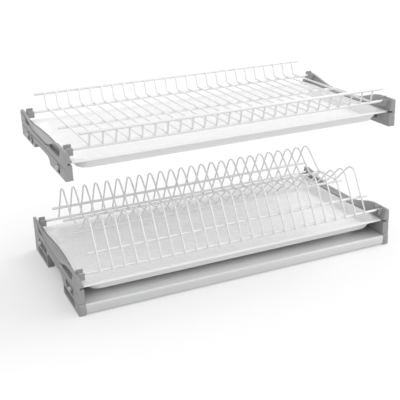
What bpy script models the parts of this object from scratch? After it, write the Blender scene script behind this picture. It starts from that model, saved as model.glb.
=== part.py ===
"""Cabinet dish drainer: two drip trays and two coated wire racks between four moulded end brackets.

Run it with: blender --background --python part.py
Units are metres. +X runs along the width, -Y faces the person in front, +Z is up.
The origin is the middle of the width and depth, on the underside of the lower frame.
"""

import math

import bmesh
import bpy
from mathutils import Matrix, Vector

# Driving sizes
WIDTH = 0.564  # outer face to outer face of the end brackets, for a 600 mm cabinet of 18 mm panels
BRACKET_DEPTH = 0.275  # front to back of an end bracket
TIER_SPACING = 0.196  # from the lower rack to the upper one
CUT_OVERRUN = 0.002  # how far a cutter reaches past the face that it opens
FIT_GAP = 0.0003  # between two pieces that rest on each other

# Wires and rods of both racks
WIRE_RADIUS = 0.0014
ROD_RADIUS = 0.0023
RACK_SIDE_MARGIN = 0.042  # outer face of a bracket to the first wire
WIRE_COUNT = 25
ROD_OVERHANG = 0.0145  # a rod's free end past the last wire
WELD_DEPTH = 0.0005  # how far a wire sinks into a rod where they are welded
PLATE_WIRE_SIDES = 5
WIRE_SIDES = 6
ROD_SIDES = 8
BEND_STEPS = 1
APEX_STEPS = 4

# End bracket, measured inwards from its outer face, back from its front face and up from its foot
BRACKET_THICKNESS = 0.0113
LUG_SETBACK = 0.0154  # front face to the middle of the front cradle
REAR_LUG_SETBACK = 0.0246  # middle of the rear cradle to the rear face
LUG_HEIGHT = 0.0413  # foot to the middle of a rod in its cradle
FLANGE_HEIGHT = 0.0283  # foot to the top of the flange over the tray
FLANGE_THICKNESS = 0.0020
FRONT_CREST_HEIGHT = 0.0453
WAIST_HEIGHT = 0.0287
REAR_CREST_HEIGHT = 0.0438
FRONT_CREST_LENGTH = 0.0274
FRONT_FALL_SHARE = 0.276  # of the bracket's depth
REAR_RISE_SHARE = 0.309
REAR_CREST_LENGTH = 0.0096
CREST_WIDTH = 0.0034  # outer face to the inner edge of the crest
CREST_ROUND = 0.0008
CREST_STEPS = 5
COVE_STEPS = 3
COVE_HOLLOW_SHARE = 0.6  # of a quarter circle; the rest is a straight slope
LINE_HEIGHT = 0.0185  # foot to the shallow groove along the outer face
LINE_WIDTH = 0.0018
LINE_DEPTH = 0.0010
FRONT_FOOT_SHARE = 0.320  # of the bracket's depth
REAR_FOOT_SHARE = 0.316
ARCH_RISE = 0.0108
ARCH_SHOULDER = 0.016
ARCH_STEPS = 4
SHELL_WALL = 0.0022  # moulded wall left round the pockets
POCKET_DEPTH = 0.0070  # from the outer face
POCKET_MARGIN = 0.0030  # foot to the pocket's lower edge
POCKET_ROUND = 0.0050
POCKET_STEPS = 2
POCKET_REACH = 0.0130  # boss's middle to the pocket's end
WING_END_SHARE = 0.64  # how far a wing's pocket follows its slope
WING_SHELF = 0.0012  # flange to the wing pocket's lower edge
SCREW_SETBACK = 0.0150  # front face, or rear face, to the middle of the corner's screw

# Tray groove in the bracket
GROOVE_CLEARANCE = 0.0004
GROOVE_REACH = 0.0064  # how deep the groove goes into the bracket's inner face

# Cradle for a rod's end
CRADLE_REACH = 0.0054  # past the bracket's inner face
CRADLE_HALF_DEPTH = 0.0062
CRADLE_DROP = 0.0075  # rod's middle to the underside
CRADLE_FRONT_RISE = 0.0030  # rod's middle to the top of the front jaw
CRADLE_REAR_RISE = 0.0068
CRADLE_TAB = 0.0026  # thickness of the rear jaw where it stands taller
CRADLE_CLEARANCE = 0.0003
CRADLE_ROOT = 0.0030  # where the cradle starts inside the bracket
CRADLE_STEPS = 4
ROD_END_SETBACK = 0.0083  # outer face to the end of a lug rod

# Screw bosses and nylon dowels
BOSS_RADIUS = 0.0052
BOSS_RECESS = 0.0008  # boss's end behind the outer face
BOSS_HEIGHT = 0.0108  # foot to the middle of a boss
FRONT_BOSS_SETBACK = 0.0370
REAR_BOSS_SETBACK = 0.0460
SPARE_BOSS_SETBACK = 0.0720
BOSS_SIDES = 10
DOWEL_RADIUS = 0.0030
DOWEL_RIB_RADIUS = 0.0033
DOWEL_BORE_RADIUS = 0.0015
DOWEL_LENGTH = 0.0098
DOWEL_RIB_LENGTH = 0.0012
DOWEL_CLEARANCE = 0.0003
DOWEL_SIDES = 8

# Lower frame: aluminium profiles and moulded corners
CORNER_HEIGHT = 0.0192
CORNER_PROUD = 0.0020  # past the bracket's front or rear face
CORNER_LENGTH = 0.088
CORNER_CHAMFER = 0.0010
CORNER_ROUND = 0.0030
CORNER_ROUND_STEPS = 3
PROFILE_HEIGHT = 0.0170
PROFILE_DEPTH = 0.0820
PROFILE_LIFT = 0.0012  # over the corner's underside
PROFILE_WALL = 0.0014
PROFILE_WEB = 0.0016  # upright wall between the profile's two chambers
PROFILE_ROUND = 0.0030
PROFILE_INNER_ROUND = 0.0006
TONGUE_LENGTH = 0.034
SCREW_RADIUS = 0.0018
SCREW_HEAD_RADIUS = 0.0038
SCREW_HEAD_DEPTH = 0.0024
SCREW_BITE = 0.0120  # length of thread in the bracket
SCREW_TIP = 0.0020
SCREW_SIDES = 8

# Drip tray
TRAY_SETBACK = 0.0074  # bracket's front face to the tray's front edge
TRAY_REAR_SETBACK = 0.0096
TRAY_WALL = 0.0016
TRAY_HEM_WIDTH = 0.0035
TRAY_HEM_DROP = 0.0012
TRAY_END_RIM = 0.0270
TRAY_FRONT_RIM = 0.0060
TRAY_REAR_RIM = 0.0250
TRAY_BASIN_DEPTH = 0.0130
TRAY_END_DRAFT = 0.0130
TRAY_FRONT_DRAFT = 0.0040
TRAY_FLOOR_ROUND = 0.0020
TRAY_RIM_CORNER = 0.0060
TRAY_BASIN_CORNER = 0.0160
TRAY_CORNER_STEPS = 4

# Lower rack: a wire rises from the front rod, falls into the trough, and mirrors that at the back
PLATE_FOOT_LENGTH = 0.0045  # wire's end past the lug rod's middle
PLATE_LEG_ANGLE = math.radians(61)
PLATE_SLOPE_ANGLE = math.radians(42)
TROUGH_HEIGHT = 0.0335  # trough's wires over the lug rods
TROUGH_SHARES = (0.387, 0.630)  # bends of the trough, as shares of the way between the lug rods
APEX_RADIUS = 0.015
TROUGH_BEND_RADIUS = 0.006
BRACE_SPACING = 0.029  # lug rod to brace rod, along the leg

# Upper rack: a flat floor between two low fences that lean out
FRONT_FENCE_HEIGHT = 0.0250  # top rail over the lug rods
FRONT_FENCE_LEAN = 0.0063
REAR_FENCE_HEIGHT = 0.0250
REAR_FENCE_LEAN = 0.0070
FRONT_BEND_OVERHANG = 0.0035  # front bend ahead of the lug rod
REAR_BEND_OVERHANG = 0.0110  # rear bend behind the lug rod
FENCE_BEND_RADIUS = 0.0030
FENCE_WIRE_TIP = 0.0012  # wire's end over the top rail's middle
TOP_RAIL_OVERHANG = 0.0170

# Places that follow from the sizes above
HALF_WIDTH = WIDTH / 2
FRONT_FACE = -BRACKET_DEPTH / 2
FRONT_LUG = FRONT_FACE + LUG_SETBACK
LUG_SPAN = BRACKET_DEPTH - LUG_SETBACK - REAR_LUG_SETBACK
TRAY_DEPTH = BRACKET_DEPTH - TRAY_SETBACK - TRAY_REAR_SETBACK
FRONT_FALL_LENGTH = BRACKET_DEPTH * FRONT_FALL_SHARE
REAR_RISE_LENGTH = BRACKET_DEPTH * REAR_RISE_SHARE
FRONT_FOOT_LENGTH = BRACKET_DEPTH * FRONT_FOOT_SHARE
REAR_FOOT_LENGTH = BRACKET_DEPTH * REAR_FOOT_SHARE
TROUGH_FRONT = LUG_SPAN * TROUGH_SHARES[0]
TROUGH_REAR = LUG_SPAN * TROUGH_SHARES[1]
LOWER_FOOT = CORNER_HEIGHT + FIT_GAP
UPPER_FOOT = LOWER_FOOT + TIER_SPACING
LOWER_LUG_LEVEL = LOWER_FOOT + LUG_HEIGHT
UPPER_LUG_LEVEL = UPPER_FOOT + LUG_HEIGHT
WELD_OFFSET = ROD_RADIUS + WIRE_RADIUS - WELD_DEPTH
REST_OFFSET = ROD_RADIUS + WIRE_RADIUS + FIT_GAP
WIRE_SPREAD = WIDTH - 2 * RACK_SIDE_MARGIN
WIRE_PITCH = WIRE_SPREAD / (WIRE_COUNT - 1)
TRAY_RIM_TOP = FLANGE_HEIGHT - FLANGE_THICKNESS - GROOVE_CLEARANCE
SIDES = {"left": -1, "right": 1}


def clear_scene():
    for obj in list(bpy.data.objects):
        bpy.data.objects.remove(obj, do_unlink=True)


def material(name, colour, roughness, metallic):
    made = bpy.data.materials.new(name)
    made.use_nodes = True
    shader = made.node_tree.nodes["Principled BSDF"]
    shader.inputs["Base Color"].default_value = (*colour, 1)
    shader.inputs["Roughness"].default_value = roughness
    shader.inputs["Metallic"].default_value = metallic
    return made


def add_object(name, mesh, finish, location=(0, 0, 0)):
    """Places a mesh in the scene as a piece of its own."""
    obj = bpy.data.objects.new(name, mesh)
    obj.location = location
    bpy.context.scene.collection.objects.link(obj)
    if finish is not None and not mesh.materials:
        mesh.materials.append(finish)
    return obj


def smooth(mesh, angle=math.radians(40)):
    mesh.shade_smooth()
    mesh.set_sharp_from_angle(angle=angle)
    return mesh


def lofted(name, rings):
    """A closed solid through rings of equal point counts, with flat ends."""
    count = len(rings[0])
    points = [tuple(point) for ring in rings for point in ring]
    faces = [tuple(range(count))[::-1], tuple(range(len(points) - count, len(points)))]
    for first in range(len(rings) - 1):
        for place in range(count):
            after = (place + 1) % count
            low, high = first * count, (first + 1) * count
            faces.append((low + place, low + after, high + after, high + place))
    return solid_mesh(name, points, faces)


def solid_mesh(name, points, faces):
    mesh = bpy.data.meshes.new(name)
    mesh.from_pydata(points, [], faces)
    build = bmesh.new()
    build.from_mesh(mesh)
    bmesh.ops.recalc_face_normals(build, faces=build.faces)
    build.to_mesh(mesh)
    build.free()
    return mesh


def joined(name, meshes):
    """Several bodies in one mesh."""
    build = bmesh.new()
    for mesh in meshes:
        build.from_mesh(mesh)
    result = bpy.data.meshes.new(name)
    build.to_mesh(result)
    build.free()
    return result


def rounded(points, radii, steps):
    """The open line through points, with each inner corner replaced by an arc."""
    line = [Vector(points[0])]
    for before, corner, after, radius in zip(points, points[1:], points[2:], radii):
        corner = Vector(corner)
        arriving = (Vector(before) - corner).normalized()
        leaving = (Vector(after) - corner).normalized()
        half = arriving.angle(leaving) / 2
        centre = corner + (arriving + leaving).normalized() * radius / math.sin(half)
        start = corner + arriving * radius / math.tan(half) - centre
        finish = corner + leaving * radius / math.tan(half) - centre
        turn = start.angle(finish)
        for step in range(steps + 1):
            share = step / steps
            line.append(centre + (start * math.sin((1 - share) * turn) + finish * math.sin(share * turn)) / math.sin(turn))
    line.append(Vector(points[-1]))
    return line


def tube(name, line, radius, sides):
    """A round bar along a line of (y, z) points in the plane x = 0."""
    rings = []
    for place, point in enumerate(line):
        before = line[max(place - 1, 0)]
        after = line[min(place + 1, len(line) - 1)]
        inward = (point - before).normalized() if place else (after - point).normalized()
        outward = (after - point).normalized() if place < len(line) - 1 else inward
        along = (inward + outward).normalized()
        across = Vector((-along.y, along.x)) / max(along.dot(inward), math.cos(math.radians(60)))
        ring = []
        for side in range(sides):
            turn = 2 * math.pi * (side + 0.5) / sides
            offset = across * radius * math.sin(turn)
            ring.append((radius * math.cos(turn), point.x + offset.x, point.y + offset.y))
        rings.append(ring)
    return lofted(name, rings)


def bar(name, half_length, y, z, radius, sides):
    """A straight round bar along X."""
    rings = []
    for x in (-half_length, half_length):
        turns = [2 * math.pi * (side + 0.5) / sides for side in range(sides)]
        rings.append([(x, y + radius * math.cos(turn), z + radius * math.sin(turn)) for turn in turns])
    return lofted(name, rings)


def extruded(name, outline, start, end, to_world):
    """An outline of (a, b) points pushed from start to end; to_world turns (depth, a, b) into x, y, z."""
    return lofted(name, [[to_world(depth, a, b) for a, b in outline] for depth in (start, end)])


def along_x(depth, a, b):
    return (depth, a, b)


def along_y(depth, a, b):
    return (a, depth, b)


def turned(name, profile, sides, centre):
    """A solid of revolution about Z through centre; profile is (radius, z) from top to bottom."""
    rings = []
    for radius, z in profile:
        turns = [2 * math.pi * side / sides for side in range(sides)]
        rings.append([(centre[0] + radius * math.cos(t), centre[1] + radius * math.sin(t), z) for t in turns])
    return lofted(name, rings)


def disc(name, radius, sides, start, end, y, z):
    """A round bar along X from start to end."""
    turns = [2 * math.pi * (side + 0.5) / sides for side in range(sides)]
    outline = [(y + radius * math.cos(turn), z + radius * math.sin(turn)) for turn in turns]
    return extruded(name, outline, start, end, along_x)


def block(name, low, high):
    outline = [(low[1], low[2]), (high[1], low[2]), (high[1], high[2]), (low[1], high[2])]
    return extruded(name, outline, low[0], high[0], along_x)


def helper(name, mesh):
    """A cutter or an added body: it is kept as a guide and never shown."""
    obj = add_object(name, mesh, None)
    obj.hide_render = True
    obj.display_type = "WIRE"
    return obj


def worked(name, base, steps):
    """The mesh left when base is cut by, or joined to, each (operation, mesh) in turn."""
    carrier = helper(name + "_blank", base)
    for number, (operation, mesh) in enumerate(steps):
        modifier = carrier.modifiers.new(operation.lower(), "BOOLEAN")
        modifier.operation = operation
        modifier.solver = "EXACT"
        modifier.object = helper(f"{name}_{operation.lower()}_{number}", mesh)
    graph = bpy.context.evaluated_depsgraph_get()
    graph.update()
    result = bpy.data.meshes.new_from_object(carrier.evaluated_get(graph))
    result.name = name
    carrier.modifiers.clear()
    return result


def mirrored(mesh, name, x=1, y=1):
    """A copy of a mesh turned over across X or Y, with its faces still pointing out."""
    result = mesh.copy()
    result.name = name
    result.transform(Matrix.Diagonal((x, y, 1, 1)))
    if x * y < 0:
        result.flip_normals()
    return result


def ease(share):
    """A soft S from 0 to 1."""
    share = min(max(share, 0), 1)
    return share * share * (3 - 2 * share)


def crest_height(y):
    """Height of the bracket's outer top edge at y behind its front face."""
    falling = ease((y - FRONT_CREST_LENGTH) / FRONT_FALL_LENGTH)
    rise_start = BRACKET_DEPTH - REAR_CREST_LENGTH - REAR_RISE_LENGTH
    rising = ease((y - rise_start) / REAR_RISE_LENGTH)
    front = FRONT_CREST_HEIGHT + (WAIST_HEIGHT - FRONT_CREST_HEIGHT) * falling
    return front + (REAR_CREST_HEIGHT - WAIST_HEIGHT) * rising


def cove(height, reach, thickness=0):
    """Points (u, z) of the hollow curve from the crest down to the flange's inner edge."""
    points = []
    for step in range(COVE_STEPS + 1):
        share = step / COVE_STEPS
        across = share + COVE_HOLLOW_SHARE * (1 - math.cos(math.pi / 2 * share) - share)
        down = share + COVE_HOLLOW_SHARE * (math.sin(math.pi / 2 * share) - share)
        u = CREST_WIDTH + (reach - CREST_WIDTH) * across
        z = height + (FLANGE_HEIGHT - height) * down
        points.append((u - thickness, z - thickness))
    return points


def bracket_blank():
    """The bracket's outer form, lofted through sections from front to back."""
    fall_end = FRONT_CREST_LENGTH + FRONT_FALL_LENGTH
    rise_start = BRACKET_DEPTH - REAR_CREST_LENGTH - REAR_RISE_LENGTH
    stations = [0]
    stations += [FRONT_CREST_LENGTH + FRONT_FALL_LENGTH * step / CREST_STEPS for step in range(CREST_STEPS + 1)]
    if rise_start > fall_end:
        stations += [rise_start]
    stations += [rise_start + REAR_RISE_LENGTH * step / CREST_STEPS for step in range(1, CREST_STEPS + 1)]
    stations += [BRACKET_DEPTH]
    rings = []
    for y in stations:
        top = crest_height(y)
        section = [(0, 0), (0, LINE_HEIGHT - LINE_WIDTH / 2), (LINE_DEPTH, LINE_HEIGHT)]
        section += [(0, LINE_HEIGHT + LINE_WIDTH / 2), (0, top - CREST_ROUND), (CREST_ROUND, top)]
        section += cove(top, BRACKET_THICKNESS)
        section += [(BRACKET_THICKNESS, 0)]
        rings.append([(u, y, z) for u, z in section])
    return lofted("bracket_form", rings)


def arch_cutter():
    """The opening under the bracket between its two feet, with elliptical shoulders."""
    front, rear = FRONT_FOOT_LENGTH, BRACKET_DEPTH - REAR_FOOT_LENGTH
    outline = [(front, -CUT_OVERRUN)]
    for step in range(ARCH_STEPS + 1):
        turn = math.pi / 2 * step / ARCH_STEPS
        outline.append((front + ARCH_SHOULDER * (1 - math.cos(turn)), ARCH_RISE * math.sin(turn)))
    for step in range(ARCH_STEPS, -1, -1):
        turn = math.pi / 2 * step / ARCH_STEPS
        outline.append((rear - ARCH_SHOULDER * (1 - math.cos(turn)), ARCH_RISE * math.sin(turn)))
    outline.append((rear, -CUT_OVERRUN))
    return extruded("arch", outline, -CUT_OVERRUN, BRACKET_THICKNESS + CUT_OVERRUN, along_x)


def groove_cutter():
    """The tray's groove, open at the front, as high as the turned-down edge of the tray's rim."""
    top = FLANGE_HEIGHT - FLANGE_THICKNESS
    floor = top - TRAY_WALL - TRAY_HEM_DROP - 2 * GROOVE_CLEARANCE
    mouth = BRACKET_THICKNESS + CUT_OVERRUN
    end = BRACKET_THICKNESS - GROOVE_REACH
    outline = [(mouth, floor), (mouth, top), (end, top), (end, floor)]
    stop = TRAY_SETBACK + TRAY_DEPTH + GROOVE_CLEARANCE
    return extruded("groove", outline, -CUT_OVERRUN, stop, along_y)


def wing_pocket(start, end, name):
    """The hollow under a wing's crest, open on the outer face, that leaves a thin coved shell."""
    rings = []
    floor = FLANGE_HEIGHT + WING_SHELF
    for step in range(CREST_STEPS + 1):
        y = start + (end - start) * step / CREST_STEPS
        under = cove(crest_height(y), BRACKET_THICKNESS, SHELL_WALL)
        roof = crest_height(y) - SHELL_WALL
        slope = [(u, z) for u, z in under if z > floor] or [(CREST_WIDTH - SHELL_WALL, roof)]
        inner = max(u for u, z in slope)
        section = [(-CUT_OVERRUN, floor), (-CUT_OVERRUN, roof), (CREST_WIDTH - SHELL_WALL, roof), (inner, floor)]
        rings.append([(u, y, z) for u, z in section])
    return lofted(name, rings)


def pocket(start, end, low, high, name, depth=POCKET_DEPTH):
    """A pocket with rounded corners, sunk from the outer face."""
    corners = [((start + end) / 2, low), (end, low), (end, high), (start, high), (start, low), ((start + end) / 2, low)]
    line = rounded(corners, [POCKET_ROUND] * (len(corners) - 2), POCKET_STEPS)[1:-1]
    return extruded(name, [(point.x, point.y) for point in line], -CUT_OVERRUN, depth, along_x)


def cradle():
    """An open-topped jaw that carries a rod's end, about the rod's middle; its rear jaw has a taller tab."""
    inner = ROD_RADIUS + CRADLE_CLEARANCE
    outline = [(-CRADLE_HALF_DEPTH, -CRADLE_DROP), (CRADLE_HALF_DEPTH, -CRADLE_DROP)]
    outline += [(CRADLE_HALF_DEPTH, CRADLE_FRONT_RISE), (inner + CRADLE_TAB, CRADLE_FRONT_RISE)]
    outline += [(inner + CRADLE_TAB, CRADLE_REAR_RISE), (inner, CRADLE_REAR_RISE)]
    for step in range(CRADLE_STEPS + 1):
        turn = math.pi * step / CRADLE_STEPS
        outline.append((inner * math.cos(turn), -inner * math.sin(turn)))
    outline += [(-inner, CRADLE_FRONT_RISE), (-CRADLE_HALF_DEPTH, CRADLE_FRONT_RISE)]
    return outline


def cradle_seat():
    """The room round a rod's end, which the cradle leaves open upwards."""
    inner = ROD_RADIUS + CRADLE_CLEARANCE
    top = CRADLE_REAR_RISE + CUT_OVERRUN
    outline = [(inner, top)]
    for step in range(CRADLE_STEPS + 1):
        turn = math.pi * step / CRADLE_STEPS
        outline.append((inner * math.cos(turn), -inner * math.sin(turn)))
    outline.append((-inner, top))
    return outline


def shifted(outline, across, up):
    return [(a + across, b + up) for a, b in outline]


def boss_places():
    rear = BRACKET_DEPTH
    return {"front": FRONT_BOSS_SETBACK, "rear": rear - REAR_BOSS_SETBACK, "spare": rear - SPARE_BOSS_SETBACK}


def bracket_mesh():
    """The left bracket in its own frame: x inwards from the outer face, y back from the front face."""
    bosses = boss_places()
    steps = [("DIFFERENCE", arch_cutter()), ("DIFFERENCE", groove_cutter())]
    wing_start = LUG_SETBACK + CRADLE_HALF_DEPTH + SHELL_WALL
    wing_end = FRONT_CREST_LENGTH + FRONT_FALL_LENGTH * WING_END_SHARE
    steps.append(("DIFFERENCE", wing_pocket(wing_start, wing_end, "front_wing_pocket")))
    rise_end = BRACKET_DEPTH - REAR_CREST_LENGTH
    rear_start = rise_end - REAR_RISE_LENGTH * WING_END_SHARE
    rear_end = BRACKET_DEPTH - REAR_LUG_SETBACK - CRADLE_HALF_DEPTH - SHELL_WALL
    steps.append(("DIFFERENCE", wing_pocket(rear_start, rear_end, "rear_wing_pocket")))
    low, high = POCKET_MARGIN, LINE_HEIGHT - LINE_WIDTH
    spans = [
        (bosses["front"] - POCKET_REACH, bosses["front"] + POCKET_REACH * 2),
        (bosses["spare"] - POCKET_REACH, bosses["rear"] + POCKET_REACH),
    ]
    for number, (start, end) in enumerate(spans):
        steps.append(("DIFFERENCE", pocket(start, end, low, high, f"foot_pocket_{number}")))
    for y in bosses.values():
        boss = disc("boss", BOSS_RADIUS, BOSS_SIDES, BOSS_RECESS, POCKET_DEPTH + SHELL_WALL, y, BOSS_HEIGHT)
        steps.append(("UNION", boss))
    hole = DOWEL_RIB_RADIUS + DOWEL_CLEARANCE
    for y in bosses.values():
        cutter = disc("boss_hole", hole, BOSS_SIDES, -CUT_OVERRUN, BRACKET_THICKNESS + CUT_OVERRUN, y, BOSS_HEIGHT)
        steps.append(("DIFFERENCE", cutter))
    for y in (LUG_SETBACK, LUG_SETBACK + LUG_SPAN):
        outline = shifted(cradle(), y, LUG_HEIGHT)
        reach = BRACKET_THICKNESS + CRADLE_REACH
        steps.append(("UNION", extruded("cradle", outline, CRADLE_ROOT, reach, along_x)))
        seat = shifted(cradle_seat(), y, LUG_HEIGHT)
        start = ROD_END_SETBACK - CRADLE_CLEARANCE
        steps.append(("DIFFERENCE", extruded("seat", seat, start, reach + CUT_OVERRUN, along_x)))
    pilot = SCREW_RADIUS + FIT_GAP
    for y in (SCREW_SETBACK, BRACKET_DEPTH - SCREW_SETBACK):
        profile = [(pilot, -CUT_OVERRUN), (pilot, SCREW_BITE + FIT_GAP)]
        steps.append(("DIFFERENCE", turned("pilot", profile, SCREW_SIDES, (BRACKET_THICKNESS / 2, y))))
    return smooth(worked("bracket", bracket_blank(), steps))


def make_brackets(finish):
    left = bracket_mesh()
    meshes = {"left": left, "right": mirrored(left, "bracket_right", x=-1)}
    for tier, foot in (("lower", LOWER_FOOT), ("upper", UPPER_FOOT)):
        for side, sign in SIDES.items():
            add_object(f"{tier}_{side}_bracket", meshes[side], finish, (sign * HALF_WIDTH, FRONT_FACE, foot))


def dowel_mesh():
    """A ribbed nylon sleeve along X with a bore through it."""
    radii = [DOWEL_RADIUS, DOWEL_RIB_RADIUS, DOWEL_RADIUS]
    spots = [0, DOWEL_RIB_LENGTH, DOWEL_RIB_LENGTH * 2]
    outer = list(zip(spots, radii))
    outer += [(DOWEL_LENGTH - x, radius) for x, radius in reversed(outer)]
    rings = [(x, radius) for x, radius in outer]
    rings += [(DOWEL_LENGTH, DOWEL_BORE_RADIUS), (0, DOWEL_BORE_RADIUS)]
    points, faces = [], []
    for x, radius in rings:
        for side in range(DOWEL_SIDES):
            turn = 2 * math.pi * side / DOWEL_SIDES
            points.append((x, radius * math.cos(turn), radius * math.sin(turn)))
    for ring in range(len(rings)):
        after = (ring + 1) % len(rings)
        for side in range(DOWEL_SIDES):
            step = (side + 1) % DOWEL_SIDES
            low, high = ring * DOWEL_SIDES, after * DOWEL_SIDES
            faces.append((low + side, low + step, high + step, high + side))
    return smooth(solid_mesh("dowel", points, faces))


def make_dowels(finish):
    left = dowel_mesh()
    meshes = {"left": left, "right": mirrored(left, "dowel_right", x=-1)}
    places = boss_places()
    inset = (BRACKET_THICKNESS - DOWEL_LENGTH) / 2
    for tier, foot in (("lower", LOWER_FOOT), ("upper", UPPER_FOOT)):
        for side, sign in SIDES.items():
            for end in ("front", "rear"):
                spot = (sign * (HALF_WIDTH - inset), FRONT_FACE + places[end], foot + BOSS_HEIGHT)
                add_object(f"{tier}_{side}_{end}_dowel", meshes[side], finish, spot)


def chambers():
    """Front and rear of each of the profile's two hollows, from its front face."""
    middle = PROFILE_DEPTH / 2
    return [(PROFILE_WALL, middle - PROFILE_WEB / 2), (middle + PROFILE_WEB / 2, PROFILE_DEPTH - PROFILE_WALL)]


def rounded_bar(name, half, front, rear, low, high, soft, softer):
    """A bar along X with softly rounded edges; its front edges have the softer radius."""
    corners = [(rear, low), (rear, high), (front, high), (front, low), (rear, low)]
    line = rounded(corners, [soft, softer, softer], CORNER_ROUND_STEPS)
    return extruded(name, [(point.x, point.y) for point in line[:-1]], -half, half, along_x)


def profile_mesh():
    """A hollow extrusion along X, open at its ends, with an upright web between its chambers."""
    half = HALF_WIDTH - BRACKET_THICKNESS - FIT_GAP
    soft = PROFILE_INNER_ROUND
    base = rounded_bar("profile_form", half, 0, PROFILE_DEPTH, 0, PROFILE_HEIGHT, soft, PROFILE_ROUND)
    steps = []
    for front, rear in chambers():
        low, high = PROFILE_WALL, PROFILE_HEIGHT - PROFILE_WALL
        hollow = rounded_bar("chamber", half + CUT_OVERRUN, front, rear, low, high, soft, soft)
        steps.append(("DIFFERENCE", hollow))
    return smooth(worked("profile", base, steps))


def make_profiles(finish):
    front = profile_mesh()
    rear = mirrored(front, "profile_rear", y=-1)
    add_object("front_profile", front, finish, (0, FRONT_FACE - CORNER_PROUD, PROFILE_LIFT))
    add_object("rear_profile", rear, finish, (0, -FRONT_FACE + CORNER_PROUD, PROFILE_LIFT))


def corner_mesh():
    """The front left corner: x inwards from the outer face, y back from its own front face."""
    outline = rounded(
        [(CORNER_LENGTH, 0), (0, 0), (0, CORNER_HEIGHT), (CORNER_LENGTH, CORNER_HEIGHT)],
        [CORNER_ROUND / 2, CORNER_ROUND],
        CORNER_ROUND_STEPS,
    )
    outline = [(point.x, point.y) for point in outline]
    inner = [(y, z) for y, z in outline]
    shrunk = [(max(y, CORNER_CHAMFER), min(z, CORNER_HEIGHT - CORNER_CHAMFER)) for y, z in outline]
    rings = [
        [(0, y, z) for y, z in shrunk],
        [(CORNER_CHAMFER, y, z) for y, z in inner],
        [(BRACKET_THICKNESS, y, z) for y, z in inner],
    ]
    base = lofted("corner_form", rings)
    clear = PROFILE_WALL + FIT_GAP
    root, tip = BRACKET_THICKNESS - SHELL_WALL, BRACKET_THICKNESS + TONGUE_LENGTH
    bottom, top = PROFILE_LIFT + clear, PROFILE_LIFT + PROFILE_HEIGHT - clear
    steps = []
    for front, rear in chambers():
        low, high = (root, front + FIT_GAP, bottom), (tip, rear - FIT_GAP, top)
        steps.append(("UNION", block("tongue", low, high)))
    column = SCREW_SETBACK + CORNER_PROUD
    low, high = POCKET_MARGIN, CORNER_HEIGHT - POCKET_MARGIN
    front = column + SCREW_HEAD_RADIUS + SHELL_WALL
    rear = CORNER_LENGTH - POCKET_MARGIN
    steps.append(("DIFFERENCE", pocket(front, rear, low, high, "corner_pocket")))
    hole = SCREW_RADIUS + FIT_GAP
    head = SCREW_HEAD_RADIUS + FIT_GAP
    profile = [
        (head, -CUT_OVERRUN),
        (head, FIT_GAP),
        (hole, SCREW_HEAD_DEPTH + FIT_GAP),
        (hole, CORNER_HEIGHT + CUT_OVERRUN),
    ]
    steps.append(("DIFFERENCE", turned("sink", profile, SCREW_SIDES, (BRACKET_THICKNESS / 2, column))))
    return smooth(worked("corner", base, steps))


def make_corners(finish):
    mesh = corner_mesh()
    for end, turn in (("front", 1), ("rear", -1)):
        for side, sign in SIDES.items():
            shaped = mesh if sign < 0 and turn > 0 else mirrored(mesh, f"corner_{end}_{side}", x=-sign, y=turn)
            place = (sign * HALF_WIDTH, turn * (FRONT_FACE - CORNER_PROUD), 0)
            add_object(f"{end}_{side}_corner", shaped, finish, place)


def make_corner_screws(finish):
    """Countersunk screws that hold the lower brackets down on the frame's corners."""
    top = CORNER_HEIGHT + FIT_GAP + SCREW_BITE
    profile = [
        (SCREW_HEAD_RADIUS, FIT_GAP),
        (SCREW_HEAD_RADIUS, FIT_GAP * 2),
        (SCREW_RADIUS, SCREW_HEAD_DEPTH),
        (SCREW_RADIUS, top - SCREW_TIP),
        (SCREW_RADIUS / 3, top),
    ]
    mesh = smooth(turned("corner_screw", profile, SCREW_SIDES, (0, 0)))
    for end, turn in (("front", 1), ("rear", -1)):
        for side, sign in SIDES.items():
            x = sign * (HALF_WIDTH - BRACKET_THICKNESS / 2)
            y = turn * (FRONT_FACE + SCREW_SETBACK)
            add_object(f"{end}_{side}_corner_screw", mesh, finish, (x, y, 0))


def tray_ring(end, front, rear, corner, z):
    """A rounded rectangle set in from the tray's outline by end, front and rear."""
    half = HALF_WIDTH - BRACKET_THICKNESS + GROOVE_REACH - GROOVE_CLEARANCE - end
    back = TRAY_DEPTH - rear
    centres = [
        (half - corner, front + corner, -math.pi / 2),
        (half - corner, back - corner, 0),
        (-half + corner, back - corner, math.pi / 2),
        (-half + corner, front + corner, math.pi),
    ]
    points = []
    for x, y, start in centres:
        for step in range(TRAY_CORNER_STEPS + 1):
            turn = start + math.pi / 2 * step / TRAY_CORNER_STEPS
            points.append((x + corner * math.cos(turn), y + corner * math.sin(turn), z))
    return points


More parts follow.
